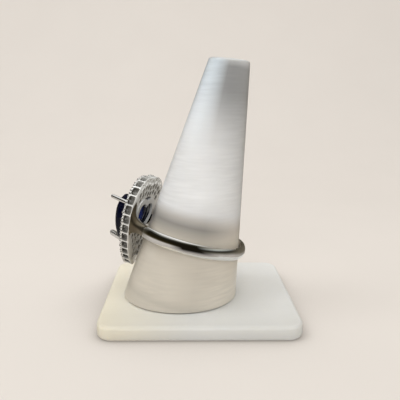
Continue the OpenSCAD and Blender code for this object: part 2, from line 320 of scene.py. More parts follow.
def ring_matrix():
    """From the ring's own frame in millimetres, finger along Y and head up Z, to the stand in metres."""
    _, ring, _, _ = sizes()
    return (
        Matrix.Scale(MM, 4)
        @ Matrix.Translation(ring.place)
        @ Matrix.Rotation(ring.lean, 4, "Y")
        @ Matrix.Rotation(-ring.tip, 4, "X")
        @ Matrix.Rotation(-math.pi / 2 - ring.head_turn, 4, "Z")
        @ Matrix.Rotation(math.pi / 2, 4, "X")
    )


def cone_axis(stand):
    return Vector((math.sin(stand.cone_lean), 0, math.cos(stand.cone_lean)))


def new_object(name, verts, faces, solid=True):
    mesh = bpy.data.meshes.new(name)
    mesh.from_pydata([tuple(v) for v in verts], [], faces)
    mesh.validate()
    made = bpy.data.objects.new(name, mesh)
    bpy.context.scene.collection.objects.link(made)
    if solid:
        bm = bmesh.new()
        bm.from_mesh(mesh)
        bmesh.ops.recalc_face_normals(bm, faces=bm.faces)
        bm.to_mesh(mesh)
        bm.free()
    return made


def dress(obj, maker, matrix=None, smooth=30, replaces=()):
    """Places a finished piece, gives it its finish and ties it to the frame."""
    obj.data.transform(matrix or Matrix.Scale(MM, 4))
    if smooth:
        obj.data.shade_smooth()
        obj.data.set_sharp_from_angle(angle=math.radians(smooth))
    obj.data.materials.clear()
    obj.data.materials.append(finish(maker))
    obj.data.update()
    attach(obj, "root")
    if replaces:
        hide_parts(*replaces)


def raised(points, z):
    return [Vector((p.x, p.y, z)) for p in points]


def circle(radius, z, segments, shift=0.0):
    return [Vector((radius * math.cos(a), radius * math.sin(a), z)) for a in turns(segments, shift)]


def loft(sections, closed_path=False):
    """Vertices and faces through a list of closed sections with the same number of points."""
    size, count = len(sections[0]), len(sections)
    verts, faces = [p for section in sections for p in section], []
    for k in range(count if closed_path else count - 1):
        a, b = k * size, ((k + 1) % count) * size
        faces += [(a + i, a + (i + 1) % size, b + (i + 1) % size, b + i) for i in range(size)]
    if not closed_path:
        faces += [tuple(range(size - 1, -1, -1)), tuple(range((count - 1) * size, count * size))]
    return verts, faces


def prism(points, low, high):
    return loft([raised(points, z) for z in (low, high)])


def revolve(profile, segments, x=0.0, y=0.0):
    """A solid of revolution about the upright through (x, y), from (radius, height) pairs."""
    verts, faces = loft([circle(radius, z, segments) for radius, z in profile])
    return [v + Vector((x, y, 0)) for v in verts], faces


def merged(parts):
    """One list of vertices and faces from several."""
    verts, faces = [], []
    for part_verts, part_faces in parts:
        start = len(verts)
        verts += part_verts
        faces += [tuple(start + i for i in face) for face in part_faces]
    return verts, faces


def carve(obj, cutters):
    """Cuts each cutter out of obj and applies the result."""
    tools = []
    for i, cutter in enumerate(cutters):
        tool = new_object(f"cutter_{i}", *cutter)
        tools.append(tool)
        cut = obj.modifiers.new(f"cut_{i}", "BOOLEAN")
        cut.operation, cut.solver, cut.object = "DIFFERENCE", "MANIFOLD", tool
    apply_modifiers(obj)
    for tool in tools:
        bpy.data.meshes.remove(tool.data)


def apply_modifiers(obj):
    shape = bpy.data.meshes.new_from_object(obj.evaluated_get(bpy.context.evaluated_depsgraph_get()))
    obj.modifiers.clear()
    old = obj.data
    obj.data = shape
    bpy.data.meshes.remove(old)
    if not obj.data.polygons:
        raise RuntimeError(f"{obj.name} came out empty")


def soften_edges(obj, width):
    bevel = obj.modifiers.new("soft_edges", "BEVEL")
    bevel.width, bevel.segments = width, 2
    bevel.limit_method, bevel.angle_limit = "ANGLE", math.radians(35)
    apply_modifiers(obj)


# Node helpers

class Nodes:
    """A node tree with short calls for adding and joining its nodes."""

    def __init__(self, tree):
        self.tree = tree

    def add(self, kind, links=None, **values):
        made = self.tree.nodes.new(kind)
        for key, value in values.items():
            if key in made.inputs:
                made.inputs[key].default_value = value
            else:
                setattr(made, key, value)
        for key, source in (links or {}).items():
            self.tree.links.new(source, made.inputs[key])
        return made

    def between(self, source, low, high, start=0.0, end=1.0):
        """Runs from low, where source is at start, to high, where it is at end."""
        ranged = self.add("ShaderNodeMapRange", {"Value": source})
        for key, value in (("From Min", start), ("From Max", end), ("To Min", low), ("To Max", high)):
            ranged.inputs[key].default_value = value
        return ranged.outputs["Result"]

    def share(self, source, start, end):
        return self.between(source, 0.0, 1.0, start, end)

    def ramp(self, source, stops):
        made = self.add("ShaderNodeValToRGB", {"Fac": source})
        elements = made.color_ramp.elements
        while len(elements) < len(stops):
            elements.new(0.5)
        for element, (position, tint) in zip(elements, stops):
            element.position, element.color = position, (*tint, 1)
        return made.outputs["Color"]

    def mix(self, share, first, second, blend="MIX"):
        made = self.add("ShaderNodeMix", data_type="RGBA", blend_type=blend)
        for index, value in ((0, share), (6, first), (7, second)):
            if isinstance(value, bpy.types.NodeSocket):
                self.tree.links.new(value, made.inputs[index])
            else:
                made.inputs[index].default_value = value if index == 0 else (*value, 1)
        return made.outputs[2]

    def multiply(self, share, first, second):
        return self.mix(share, first, second, blend="MULTIPLY")


class Finish(Nodes):
    """A material on one shader, with the patterns that the finishes share."""

    usual_low, usual_high = 0.3, 0.7

    def __init__(self, name):
        self.material = bpy.data.materials.new(name)
        self.material.use_nodes = True
        super().__init__(self.material.node_tree)
        self.shader = self.tree.nodes["Principled BSDF"]
        self.place = self.add("ShaderNodeTexCoord").outputs["Object"]

    def set(self, **values):
        for key, value in values.items():
            socket = self.shader.inputs[key.replace("_", " ")]
            if isinstance(value, bpy.types.NodeSocket):
                self.tree.links.new(value, socket)
            else:
                socket.default_value = value

    def bump(self, source, strength, distance):
        made = self.add("ShaderNodeBump", {"Height": source}, Strength=strength, Distance=distance)
        self.tree.links.new(made.outputs["Normal"], self.shader.inputs["Normal"])

    def noise(self, scale, detail=3.0, stretch=None):
        source = self.place
        if stretch:
            source = self.add("ShaderNodeMapping", {"Vector": source}, Scale=stretch).outputs["Vector"]
        return self.add("ShaderNodeTexNoise", {"Vector": source}, Scale=scale, Detail=detail).outputs["Fac"]

    def rings(self, source, scale, detail):
        """Lines across a direction, like the marks of turning."""
        made = self.add("ShaderNodeTexNoise", noise_dimensions="1D", Scale=scale, Detail=detail)
        self.tree.links.new(source, made.inputs["W"])
        return made.outputs["Fac"]

    def spread(self, noise, low, high):
        """Spreads a noise's usual range over the range from low to high."""
        return self.between(noise, low, high, self.usual_low, self.usual_high)

    def two_tone(self, noise, dark, light):
        return self.ramp(noise, [(self.usual_low, dark), (self.usual_high, light)])

    def vector_math(self, operation, source, other):
        made = self.add("ShaderNodeVectorMath", {0: source}, operation=operation)
        made.inputs[1].default_value = other
        return made.outputs

    def along(self, axis, start):
        """Distance from start along a direction, in metres."""
        moved = self.vector_math("SUBTRACT", self.place, start)["Vector"]
        return self.vector_math("DOT_PRODUCT", moved, axis)["Value"]

    def along_ring(self, axis):
        """Distance along one of the ring's own axes from the middle of its band, in metres."""
        matrix = ring_matrix()
        return self.along(matrix.to_3x3() @ Vector(axis) / MM, matrix.to_translation())

    def facing(self, direction):
        """How far the surface faces a direction: 1 straight at it, 0 across it."""
        normal = self.add("ShaderNodeTexCoord").outputs["Normal"]
        return self.vector_math("DOT_PRODUCT", normal, direction)["Value"]

    def openness(self, distance, only_local=False):
        """How open the surroundings are: 1 in the open, 0 deep in a hole."""
        made = self.add("ShaderNodeAmbientOcclusion", Distance=distance, samples=8, only_local=only_local)
        return made.outputs["AO"]


def shade(tint, share):
    return tuple(c * share for c in tint)


WHITE = (1, 1, 1)
MADE = {}


def finish(maker):
    """The material of one of the functions below, made once."""
    if maker not in MADE:
        MADE[maker] = maker(bpy.context.scene.ring_colours)
    return MADE[maker]


# Metal finishes

def polished_metal(tint):
    metal = Finish("polished_metal")
    wear = metal.noise(900, 4)
    scratches = metal.noise(2600, 2, stretch=(1, 1, 0.2))
    metal.set(
        Metallic=1.0,
        Base_Color=metal.two_tone(wear, shade(tint.metal, 0.93), tint.metal),
        Roughness=metal.spread(scratches, 0.03, 0.10),
    )
    metal.bump(scratches, 0.12, 0.00002)
    return metal.material


def grainy_metal(name, metallic, scale, dark, light, gloss, depth):
    metal = Finish(name)
    grain = metal.noise(scale, 3)
    tone = metal.two_tone(grain, dark, light)
    metal.set(Metallic=metallic, Base_Color=tone, Roughness=metal.spread(grain, *gloss))
    metal.bump(grain, depth, 0.00003)
    return metal.material


def satin_metal(tint):
    dark, light = shade(tint.metal, 0.97), shade(tint.metal, 1.1)
    return grainy_metal("satin_metal", 0.88, 1400, dark, light, (0.07, 0.16), 0.2)


def plated_metal(tint):
    return grainy_metal("plated_metal", 0.28, 1800, (0.88, 0.89, 0.90), tint.plating, (0.10, 0.2), 0.15)


def shaded_flank_metal(tint):
    """Bright where it leaves the band, and duller towards the plate, where a painted shade makes it browner.
    """
    flank = Finish("shaded_flank_metal")
    grain = flank.noise(1500, 4)
    rise = flank.share(flank.along_ring((0, 0, 1)), 0.0053, 0.0078)
    # Painted shade: the metal's colour darkens to brown towards the plate.
    stops = [(0.0, shade(tint.metal, 0.7)), (0.35, tint.flank), (1.0, (0.18, 0.15, 0.10))]
    body = flank.ramp(rise, stops)
    flank.set(
        Metallic=0.92,
        Base_Color=flank.mix(flank.spread(grain, 0.0, 0.35), body, (0.15, 0.122, 0.08)),
        Roughness=flank.between(rise, 0.16, 0.42),
    )
    flank.bump(grain, 0.25, 0.00004)
    return flank.material


def pierced_metal(tint):
    """Bright on its faces, with painted shade: darker where other parts close in, darker in its holes,
    darkest in its seats, and a painted navy shade beside the blue stone.
    """
    cast = Finish("pierced_metal")
    grain = cast.noise(3200, 3)
    face = cast.ramp(cast.noise(700, 2), [(0.3, (0.86, 0.86, 0.84)), (0.75, (0.97, 0.97, 0.95))])
    # Painted shade where the cone and the shoulders close in on the plate.
    crowding_shade = [(0.05, (0.84, 0.82, 0.78)), (0.35, (0.97, 0.96, 0.94)), (0.6, WHITE)]
    body = cast.multiply(1.0, face, cast.ramp(cast.openness(0.003), crowding_shade))
    # Painted shade in the hollows: dark in the holes and darkest in the seats' upper part.
    seat_shade_mask = cast.share(cast.along_ring((0, 0, 1)), 0.0090, 0.0094)
    inside = cast.mix(seat_shade_mask, tint.hollow_shade, shade(tint.hollow_shade, 0.22))
    deep = cast.share(cast.openness(0.0013, only_local=True), 0.80, 0.35)
    # Painted shade: the metal turns navy-black close to the blue stone.
    from_stone = cast.vector_math("DISTANCE", cast.place, ring_matrix() @ Vector((0, 1.2, 9.7)))["Value"]
    beside = cast.share(from_stone, 0.0034, 0.0031)
    cast.set(
        Metallic=0.3,
        Base_Color=cast.mix(beside, cast.mix(deep, body, inside), (0.010, 0.013, 0.035)),
        Roughness=cast.spread(grain, 0.12, 0.26),
    )
    cast.bump(grain, 0.2, 0.00003)
    return cast.material


# Stone finishes

def deep_blue_facets(tint):
    """Painted light and shade: nearly black from the side and on the pavilion's far half, with painted clear
    blue zones of light in the pavilion's near half.
    """
    blue = Finish("deep_blue_facets")
    deep = tint.blue_stone
    # Painted light and shade across the stone: dark on the far half, clear blue on the near half.
    across = blue.share(blue.along_ring((1, 0, 0)), -0.003, 0.003)
    far = [(0.0, shade(deep, 0.15)), (0.42, shade(deep, 0.3))]
    near = [(0.58, (0.006, 0.040, 0.34)), (1.0, tint.blue_light)]
    # Painted shade: nearly black above the pavilion, where the stone is seen from the side.
    above = blue.share(blue.along_ring((0, 0, 1)), 0.01076, 0.011288)
    zones = blue.mix(above, blue.ramp(across, far + near), shade(deep, 0.12))
    clouds = blue.ramp(blue.noise(700, 2), [(0.35, (0.3, 0.3, 0.35)), (0.65, WHITE)])
    blue.set(Base_Color=blue.multiply(0.4, zones, clouds))
    blue.set(Roughness=0.02, IOR=1.7, Specular_IOR_Level=0.05, Transmission_Weight=0.12)
    return blue.material


def clear_facets(tint):
    clear = Finish("clear_facets")
    sparkle = clear.two_tone(clear.noise(500, 1), shade(tint.clear_stone, 0.9), tint.clear_stone)
    clear.set(Base_Color=sparkle, Roughness=0.02, IOR=2.0, Transmission_Weight=0.9)
    return clear.material


# Frosted finishes

def turned_frost(tint):
    """Pale frosted plastic with turning marks, with light and shade painted into its colour: greyer in a
    painted shadow band above the ring and towards the top, a painted bluish highlight towards the window
    light, a painted highlight on the top edge, and its own colours on the side turned away from that light.
    """
    stand, _, _, _ = sizes()
    foot, band, light, top = tint.cone_foot, tint.cone_band, tint.cone_light, tint.cone_top
    cone = Finish("turned_frost")
    up = cone.along(cone_axis(stand), Vector((stand.cone_x, stand.cone_y, stand.base_height)) * MM)
    climb = cone.share(up, 0.0, 0.04)
    # Colour up the cone's lower part: darker at the very foot, then a painted shadow band above the ring.
    low = [
        (0.0, shade(foot, 0.92)), (0.015, shade(foot, 0.85)), (0.05, foot), (0.20, foot),
        (0.285, shade(foot, 0.88)), (0.332, band), (0.358, shade(band, 1.6)), (0.395, shade(light, 0.9)),
    ]
    # The front: lightest in the middle, painted greyer towards the top, with a painted highlight on the top
    # edge.
    front = low + [
        (0.45, light), (0.62, shade(light, 0.90)), (0.72, shade(light, 0.74)), (0.79, shade(top, 1.5)),
        (0.87, shade(top, 1.02)), (0.962, top), (0.985, shade(top, 1.8)),
    ]
    # The side towards the window light, with a painted bluish highlight in its upper half.
    window = low + [
        (0.45, shade(light, 0.93)), (0.60, shade(light, 0.93)), (0.75, (0.77, 0.80, 0.825)),
        (0.88, (0.69, 0.75, 0.80)), (1.0, (0.63, 0.70, 0.75)),
    ]
    # The side turned away from the window light, painted paler than the front at the foot, in the shadow
    # band and near the top, with a painted highlight on the top edge.
    shaded = [
        (0.0, shade(foot, 1.15)), (0.05, shade(foot, 1.22)), (0.20, shade(foot, 1.22)),
        (0.29, shade(foot, 1.16)), (0.335, (0.62, 0.57, 0.51)), (0.395, shade(light, 0.92)),
        (0.45, shade(light, 0.93)),
        (0.62, shade(light, 0.82)), (0.72, shade(light, 0.72)), (0.79, shade(top, 1.7)),
        (0.87, shade(top, 1.25)), (0.962, shade(top, 1.25)), (0.985, shade(top, 2.0)),
    ]
    # Lit and shaded copies of the colour, chosen by how far the surface faces the window light.
    to_window = cone.facing((-0.80, -0.60, 0))
    body = cone.mix(cone.share(to_window, 0.62, 0.95), cone.ramp(climb, front), cone.ramp(climb, window))
    body = cone.mix(cone.share(to_window, 0.45, -0.35), body, cone.ramp(climb, shaded))
    streaks = cone.noise(1, 3, stretch=(220, 220, 2400))
    streaks = cone.ramp(streaks, [(0.35, (0.55, 0.55, 0.55)), (0.65, WHITE)])
    wisps = cone.between(cone.noise(90, 2), 0.05, 0.26, 0.40, 0.65)
    clouds = cone.noise(150, 3)
    streaked = cone.multiply(wisps, body, streaks)
    cone.set(
        Base_Color=cone.multiply(0.08, streaked, cone.two_tone(clouds, (0.6, 0.59, 0.57), WHITE)),
        Roughness=cone.spread(clouds, 0.29, 0.33), Specular_IOR_Level=0.8,
        Subsurface_Weight=0.2, Subsurface_Radius=(1.0, 0.9, 0.75), Subsurface_Scale=0.001,
    )
    cone.bump(cone.rings(up, 3000, 0.5), 0.02, 0.00003)
    return cone.material


def slab_frost(tint):
    """Pale frosted plastic, warmer towards the left, with a painted shade that greys the front of its top
    face.
    """
    stand, _, _, _ = sizes()
    slab = Finish("slab_frost")
    frost, left, front = slab.noise(2400, 4), -stand.base_width / 2 * MM, -stand.base_depth / 2 * MM
    across = slab.share(slab.along((1, 0, 0), (left, 0, 0)), 0.0, 0.031)
    plain = slab.ramp(across, [(0.0, tint.base_left), (0.45, tint.base)])
    deep = slab.share(slab.along((0, 1, 0), (0, front, 0)), 0.0, 0.012)
    # Painted shade: the top face greyer towards the front.
    front_top_shade = slab.ramp(deep, [(0.0, (0.80, 0.79, 0.775)), (0.35, (0.86, 0.855, 0.845)), (0.8, WHITE)])
    on_top = slab.share(slab.facing((0, 0, 1)), 0.2, 0.8)
    plain = slab.mix(on_top, plain, slab.multiply(1.0, plain, front_top_shade))
    clouds = slab.two_tone(slab.noise(110, 3), (0.5, 0.5, 0.5), WHITE)
    slab.set(
        Base_Color=slab.multiply(0.08, plain, clouds), Roughness=slab.spread(frost, 0.42, 0.6),
        Subsurface_Weight=0.5, Subsurface_Radius=(1.0, 0.95, 0.85), Subsurface_Scale=0.002,
    )
    slab.bump(frost, 0.12, 0.00003)
    return slab.material


def backdrop_paper(tint):
    """Pale paper that glows a little, with a painted shadow close to the object."""
    paper = Finish("backdrop_paper")
    sheet = paper.two_tone(paper.noise(40, 3), shade(tint.backdrop, 0.985), tint.backdrop)
    # Painted shadow where the paper comes close to the object.
    contact_shadow = paper.ramp(paper.openness(0.014), [(0.45, (0.62, 0.61, 0.60)), (0.97, WHITE)])
    sheet = paper.multiply(1.0, sheet, contact_shadow)
    paper.set(
        Base_Color=paper.multiply(1.0, sheet, (0.46, 0.46, 0.46)), Roughness=0.9, Specular_IOR_Level=0.1,
        Emission_Color=sheet, Emission_Strength=0.47,
    )
    return paper.material


# The stand

def rounded_square(width, depth, corner, inset):
    points, per_corner, least = [], 12, 0.2
    half_w, half_d, radius = width / 2 - inset, depth / 2 - inset, max(corner - inset, least)
    for k, (sx, sy) in enumerate(((1, 1), (-1, 1), (-1, -1), (1, -1))):
        for i in range(per_corner + 1):
            a = math.pi / 2 * (k + i / per_corner)
            corner_centre = Vector((sx * (half_w - radius), sy * (half_d - radius)))
            points.append(corner_centre + Vector((math.cos(a), math.sin(a))) * radius)
    return points


def build_base():
    """The low square slab with rounded corners and edges."""
    stand, _, _, _ = sizes()
    edge, top, steps = stand.base_edge, stand.base_height, 6
    quarter = [math.pi / 2 * i / steps for i in range(steps + 1)]
    levels = [(edge * (1 - math.sin(a)), edge * (1 - math.cos(a))) for a in quarter]
    levels += [(inset, top - rise) for inset, rise in reversed(levels)]
    square = (stand.base_width, stand.base_depth, stand.base_corner)
    sections = [raised(rounded_square(*square, inset), z) for inset, z in levels]
    slab = new_object("base_slab", *loft(sections))
    dress(slab, slab_frost, replaces=["stand_base"])


def build_cone():
    """The leaning cone, cut level at its foot and tilted at its top, with a rolled top edge."""
    stand, _, _, _ = sizes()
    axis = cone_axis(stand)
    across, deep = Vector((axis.z, 0, -axis.x)), Vector((0, 1, 0))
    foot = Vector((stand.cone_x, stand.cone_y, stand.base_height))
    height = stand.cone_height - stand.base_height
    slope = (stand.cone_foot - stand.cone_top) * math.cos(stand.cone_lean) / height
    apex = foot + axis * (stand.cone_foot / slope)
    top_centre = foot + Vector((height * math.tan(stand.cone_lean), 0, height))
    top_normal = Vector((math.sin(stand.cone_top_tilt), 0, math.cos(stand.cone_top_tilt)))
    segments, steps, first, edge = 160, 60, 0.0025, stand.cone_edge
    feet, tops = [], []
    for a in turns(segments):
        run = ((across * math.cos(a) + deep * math.sin(a)) * slope - axis).normalized()
        feet.append(apex + run * ((stand.base_height + stand.gap - apex.z) / run.z))
        tops.append(apex + run * ((top_centre - apex).dot(top_normal) / run.dot(top_normal)))
    middle_foot, middle_top = (sum(points, Vector()) / segments for points in (feet, tops))
    sections = [[low.lerp(middle_foot, share) for low in feet] for share in (0.5, 0.02)]
    for k in range(steps):
        share = first + (1 - first) * k / (steps - 1)
        pairs = zip(feet, tops)
        sections.append([low.lerp(high, min(share, 1 - edge / (high - low).length)) for low, high in pairs])
    for u in (k / 6 for k in range(1, 7)):
        row = []
        for low, high in zip(feet, tops):
            start = high + (low - high).normalized() * edge
            end = high + (middle_top - high).normalized() * edge
            row.append(start * (1 - u) ** 2 + high * 2 * u * (1 - u) + end * u ** 2)
        sections.append(row)
    sections.append([high.lerp(middle_top, 0.6) for high in tops])
    cone = new_object("ring_cone", *loft(sections))
    dress(cone, turned_frost, replaces=["stand_cone"], smooth=40)


# Middle of the centre stone and feet of the prongs in the ring's own frame, in millimetres
STONE_MIDDLE, LOBE_PRONG, TIP_PRONG = Vector((0, 0.35)), Vector((4.1, 2.9)), Vector((0, -4.35))
TIP_PRONG_RADIUS = 0.66
LOBE_PRONG_LEAN, TIP_PRONG_LEAN = math.radians(7), math.radians(11.5)


# The band and its shoulders

def band_height(ring, y):
    """Radius of the band's domed outer face at a place across its width."""
    half, rise = ring.band_width / 2, ring.band_thickness - ring.band_edge
    dome = (half ** 2 + rise ** 2) / (2 * rise)
    return ring.bore / 2 + ring.band_thickness - dome + math.sqrt(dome ** 2 - y ** 2)


def opening_prism(low, high, grow):
    _, _, head, _ = sizes()
    return prism(opening_outline(head, 96, grow), low, high)


def build_band():
    """The plain band with its domed outer face, open where the heart goes through."""
    _, ring, _, _ = sizes()
    radius, half, ease = ring.bore / 2, ring.band_width / 2, 0.09
    inner_edge = [(radius, half - ease * 2), (radius + ease * 0.4, half - ease * 0.5), (radius + ease, half)]
    profile = [(radius, -half + ease * 2), (radius, 0), *inner_edge]
    count, steps, edge_drop, clearance = 22, 240, 0.03, 0.14
    for k in range(count + 1):
        y = half * (1 - 2 * k / count)
        profile.append((band_height(ring, y) - (edge_drop if k in (0, count) else 0), y))
    profile += [(radius + ease, -half), (radius + ease * 0.4, -half + ease * 0.5)]
    sections = [[Vector((r * math.sin(a), y, r * math.cos(a))) for r, y in profile] for a in turns(steps)]
    band = new_object("band", *loft(sections, closed_path=True))
    carve(band, [opening_prism(radius - 1, radius + 3, clearance)])
    dress(band, polished_metal, ring_matrix(), smooth=38, replaces=["ring_mount"])


def shoulder_sections(side):
    """The flare from the band to a long foot on the plate's back, just inside the rim."""
    _, ring, head, _ = sizes()
    heart = plate_heart(head)
    start = math.radians(52)
    outward = Vector((math.sin(start), 0, math.cos(start)))
    along = Vector((-math.cos(start), 0, math.sin(start)))
    foot_inside, foot_middle, foot_reach, foot_top = 4.75, 1.35, 3.35, 4.7
    sunk, bend, rise, rim_margin = 0.02, 1.2, 0.12, 0.12
    arm, foot = [], []
    for a in turns(56):
        y, n = squared(math.cos(a), 0.55), squared(math.sin(a), 0.6)
        across = y * ring.band_width / 2 * 0.98
        low, high = ring.bore / 2 + sunk, band_height(ring, across) - sunk
        arm.append(outward * (low + (high - low) * (1 + n) / 2) + Vector((0, across, 0)))
        top = foot_top if n > 0 else foot_top + 1.9 * n
        place = foot_middle + y * (foot_reach if y < 0 else top - foot_middle)
        rim = heart.width_at(place) - rim_margin
        foot.append(Vector((foot_inside + (rim - foot_inside) * (1 + n) / 2, place, head.plate_back + 0.04)))
    sections = []
    for u in (k / 32 for k in range(33)):
        flare = u ** 4.5
        section = []
        for p0, p3 in zip(arm, foot):
            p1, p2 = p0 + along * bend, p3 - Vector((0, 0, rise))
            spot = p0 * (1 - u) ** 3 + p1 * 3 * u * (1 - u) ** 2 + p2 * 3 * u ** 2 * (1 - u) + p3 * u ** 3
            section.append(Vector((side * spot.x, p0.y + (p3.y - p0.y) * flare, spot.z)))
        sections.append(section)
    return sections


def build_shoulders():
    """The two flared shoulders that carry the plate."""
    shoulders = new_object("shoulders", *merged([loft(shoulder_sections(side)) for side in (-1, 1)]))
    dress(shoulders, shaded_flank_metal, ring_matrix(), smooth=50)


# The halo plate

# The rows of small stones: distance in from the rim, and the number of places in each inner row
OUTER_ROW, INNER_ROWS = 0.95, ((2.05, 29), (3.05, 23))
# The rows of holes: distance in from the rim, lowest and highest place along the finger, and shift
HOLE_ROWS = (
    (1.62, 4.6, 9, 0.0), (2.72, 1.1, 9, 0.5), (3.75, 3.6, 9, 0.0),
    (2.1, -9, -2.0, 0.5), (3.2, -9, -1.6, 0.0), (4.25, -9, -1.6, 0.5), (1.35, -9, -5.5, 0.5),
)


def stone_rows():
    """Places of the outer row's stones and of the inner rows' stones, which leave the prongs free."""
    _, _, head, stones = sizes()
    heart = plate_heart(head)
    feet = [(Vector((side * LOBE_PRONG.x, LOBE_PRONG.y)), stones.prong / 2) for side in (1, -1)]
    feet.append((TIP_PRONG, TIP_PRONG_RADIUS))
    gap = 0.08
    reach = stones.inner_stone / 2 + gap
    rows = [p for inset, count in INNER_ROWS for p, _ in heart.row(-inset, count, 0.5)]
    inner = [p for p in rows if all((p - foot).length > reach + radius for foot, radius in feet)]
    return heart.outline(-OUTER_ROW, head.seats), inner


def hole_places():
    """Places of the small holes, clear of the frame and of each other."""
    _, _, head, _ = sizes()
    heart, frame_edge = plate_heart(head), frame_outline(head, 64)
    from_frame, apart, kept = head.hole + 0.06, 0.76 * head.hole_pitch, []
    for inset, low, high, shift in HOLE_ROWS:
        count = round(2 * heart.half_length(-inset) / head.hole_pitch)
        for p, _ in heart.row(-inset, count, shift):
            clear = low < p.y < high and min((p - q).length for q in frame_edge) > from_frame
            if clear and all((p - q).length > apart for q in kept):
                kept.append(p)
    return kept


def plate_blank(head):
    """The heart-shaped plate with its edges eased."""
    back, front, ease = head.plate_back, head.plate_back + head.plate_thickness, 0.07
    eased = [(ease, 0), (0.02, 0.02), (0, ease)]
    levels = [(inset, back + z) for inset, z in eased]
    levels += [(inset, front - z) for inset, z in reversed(eased)]
    return loft([raised(plate_heart(head).outline(-inset, 220), z) for inset, z in levels])


def dish(head):
    """The shallow dish in the plate's back."""
    back, wide, steps = head.plate_back, head.dish_radius + 0.3, 12
    shares = [k / steps for k in range(1, steps + 1)]
    bowl = [(head.dish_radius * share, back + head.dish_depth * (1 - share ** 2)) for share in shares]
    profile = [(wide, back - 0.4), (wide, back - 0.05), *reversed(bowl), (0.05, back + head.dish_depth)]
    return revolve(profile, 96, y=head.dish_y)


def windows(head):
    """The rounded boxes that open the seats round the rim."""
    rounded = ((0.62, 0), (0.8, 0.03), (0.9, 0.1), (0.97, 0.3))
    levels = [(share, rise - head.window_depth) for share, rise in rounded]
    levels += [(1, 0), (1.02, 0.4)]
    up = Vector((0, 0, 1))
    made = []
    for p, normal in plate_heart(head).row(0, head.seats):
        side, out = Vector((-normal.y, normal.x, 0)), Vector((normal.x, normal.y, 0))
        centre = Vector((p.x, p.y, head.plate_back + head.window_level))
        loop = []
        for a in turns(32):
            across = side * (head.window_width / 2 * squared(math.cos(a), 0.4))
            loop.append(across + up * (head.window_height / 2 * squared(math.sin(a), 0.4)))
        made.append(loft([[centre + q * share + out * d for q in loop] for share, d in levels]))
    return made


def stone_seats(head, stones):
    """The seats of the small stones in the plate's front."""
    front = head.plate_back + head.plate_thickness
    made = []
    for row, diameter in zip(stone_rows(), (stones.outer_stone, stones.inner_stone)):
        r, depth = diameter / 2 + 0.05, 0.27 * diameter + 0.06
        profile = [(r * 0.3, front - depth), (r, front - 0.06), (r + 0.02, front), (r + 0.02, front + 0.3)]
        made += [revolve(profile, 20, p.x, p.y) for p in row]
    return made


def piercings(head):
    """The small holes in the plate's back, and the round openings of the upper seats."""
    back, r = head.plate_back, head.hole
    dip = back + head.dish_depth * 0.4
    hole = [(r + 0.05, back - 0.3), (r + 0.05, dip), (r, dip + 0.08), (r, back + 0.4), (r * 0.8, back + 0.7)]
    opening = [(0.52, back - 0.3), (0.52, back + 0.02), (0.49, back + 0.1), (0.46, back + 0.8)]
    made = [revolve(hole, 20, p.x, p.y) for p in hole_places()]
    upper = [p for p in plate_heart(head).outline(-0.6, head.seats) if p.y > head.open_from]
    return made + [revolve(opening, 20, p.x, p.y) for p in upper]


def seams(head):
    """The fine grooves where the flanks meet the plate's back."""
    heart, back, inset, steps = plate_heart(head), head.plate_back, 1.72, 160
    groove = [(-0.09, -0.2), (0.09, -0.2), (0.09, 0.02), (0, 0.16), (-0.09, 0.02)]
    half = heart.half_length(-inset)
    track = [heart.station(-inset, half * k / steps) for k in range(steps + 1)]
    made = []
    for side in (-1, 1):
        sections = []
        for p, normal in track:
            if -5.6 < p.y < -1.2:
                spots = [(p + normal * w, z) for w, z in groove]
                sections.append([Vector((side * q.x, q.y, back + z)) for q, z in spots])
        made.append(loft(sections))
    return made


def stone_pocket(head, stones):
    """The room under the centre stone, open to the front."""
    share, floor = 0.78, 0.33
    outline = [STONE_MIDDLE + (p - STONE_MIDDLE) * share for p in stone_heart(stones).outline(0.08, 80)]
    front = head.plate_back + head.plate_thickness
    return prism(outline, head.plate_back + head.dish_depth + floor, front + 1)


def build_plate():
    """The halo plate with its dish, open seats, honeycomb and heart opening."""
    _, _, head, stones = sizes()
    plate = new_object("halo_plate", *plate_blank(head))
    clearance, cutters = 0.07, []
    through = opening_prism(head.plate_back - 1, head.plate_back + head.plate_thickness + 1, clearance)
    for group in (windows(head), [dish(head)], stone_seats(head, stones), piercings(head)):
        halves = (group[0::2], group[1::2])
        cutters += [merged(half) for half in halves if half]
    carve(plate, [*cutters, merged(seams(head)), stone_pocket(head, stones), through])
    soften_edges(plate, 0.03)
    dress(plate, pierced_metal, ring_matrix(), smooth=32)


def build_heart_frame():
    """The polished frame round the heart opening."""
    _, _, head, _ = sizes()
    count, face = 128, head.plate_back + 0.01
    rounded = [(0.0, 0.09), (0.02, 0.04), (0.05, 0.01), (0.09, 0), (0.11, 0), (0.5, 0)]
    rounded += [(0.89, 0), (0.91, 0), (0.95, 0.01), (0.98, 0.04), (1.0, 0.09)]
    profile = [(0.0, 0.36), *rounded, (1.0, 0.3), (0.5, 0.42), (0.06, 0.42)]
    sections = []
    for a, b in zip(opening_outline(head, count), frame_outline(head, count)):
        sections.append([Vector((*a.lerp(b, share), face + z)) for share, z in profile])
    rim = new_object("heart_frame", *loft(sections, closed_path=True))
    dress(rim, plated_metal, ring_matrix(), smooth=32)


# Prongs and beads

def rod(start, end, r0, r1, rings=14, segments=22):
    """A round prong with a domed end."""
    axis = (end - start).normalized()
    side = axis.cross(Vector((0, 1, 0))).normalized()
    up = side.cross(axis)
    cap = r1 * 0.8
    run = (end - start).length - cap
    levels = [(run * k / rings, r0 + (r1 - r0) * k / rings) for k in range(rings + 1)]
    levels += [(run + cap * math.sin(a), r1 * math.cos(a)) for a in (math.pi / 12 * k for k in range(1, 6))]
    around = [side * math.cos(a) + up * math.sin(a) for a in turns(segments)]
    return loft([[start + axis * d + way * r for way in around] for d, r in levels])


